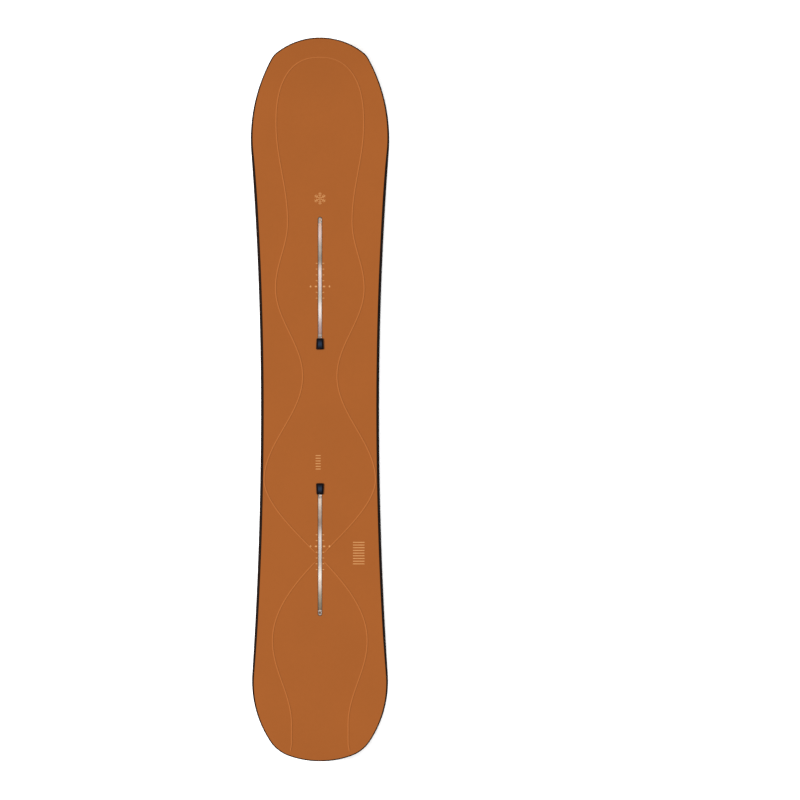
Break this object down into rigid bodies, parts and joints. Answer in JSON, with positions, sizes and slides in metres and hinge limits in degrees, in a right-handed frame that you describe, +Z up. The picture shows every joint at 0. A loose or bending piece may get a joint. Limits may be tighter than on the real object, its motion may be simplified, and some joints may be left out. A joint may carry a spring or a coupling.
{
  "type": "snowboard",
  "caption": "Directional all-mountain snowboard with steel edges, a wood core and a lengthwise channel under each foot for sliding binding inserts.",
  "frame": {"origin": "midway between the tips on the centre line, at the height of the two contact zones it rests on", "axes": "+Y from tail to nose along the centre line, +X to the right, +Z up through the topsheet"},
  "size_m": [0.2986, 1.56, 0.0584],
  "materials": {
    "topsheet": "satin burnt orange",
    "sidewall": "matte black",
    "tip_spacer": "matte black",
    "base": "structured running base, dark",
    "edge_steel": "ground",
    "laminate": "glass fibre in clear resin",
    "core_wood": "planed",
    "rail": "drawn, with dark lips",
    "plug": "satin black",
    "insert_steel": "zinc plated"
  },
  "bodies": {
    "board": {"base": "base", "steel_edge_right": "edge_steel", "steel_edge_left": "edge_steel", "lower_laminate": "laminate", "sidewall_right": "sidewall", "sidewall_left": "sidewall", "tip_spacer_nose": "tip_spacer", "tip_spacer_tail": "tip_spacer", "core_center_nose": "core_wood", "core_center_waist": "core_wood", "core_center_tail": "core_wood", "core_strip_right_1": "core_wood", "core_strip_right_2": "core_wood", "core_strip_right_outer": "core_wood", "core_strip_left_1": "core_wood", "core_strip_left_2": "core_wood", "core_strip_left_outer": "core_wood", "upper_laminate": "laminate", "topsheet": "topsheet", "channel_rail_front": "rail", "channel_rail_rear": "rail"},
    "front_plug": {"channel_plug_front": "plug"},
    "rear_plug": {"channel_plug_rear": "plug"},
    "front_inner_insert": {"insert_front_inner": "insert_steel"},
    "front_outer_insert": {"insert_front_outer": "insert_steel"},
    "rear_inner_insert": {"insert_rear_inner": "insert_steel"},
    "rear_outer_insert": {"insert_rear_outer": "insert_steel"}
  },
  "joints": [
    {"name": "front_plug_lift", "type": "slide", "parent": "board", "child": "front_plug", "axis": [0, 0, 1], "range_m": [0, 0.015]},
    {"name": "rear_plug_lift", "type": "slide", "parent": "board", "child": "rear_plug", "axis": [0, 0, 1], "range_m": [0, 0.015]},
    {"name": "front_inner_insert_slide", "type": "slide", "parent": "board", "child": "front_inner_insert", "axis": [0, 1, 0], "range_m": [0, 0.119]},
    {"name": "front_outer_insert_slide", "type": "slide", "parent": "board", "child": "front_outer_insert", "axis": [0, 1, 0], "range_m": [-0.119, 0]},
    {"name": "rear_inner_insert_slide", "type": "slide", "parent": "board", "child": "rear_inner_insert", "axis": [0, -1, 0], "range_m": [0, 0.119]},
    {"name": "rear_outer_insert_slide", "type": "slide", "parent": "board", "child": "rear_outer_insert", "axis": [0, -1, 0], "range_m": [-0.119, 0]}
  ]
}
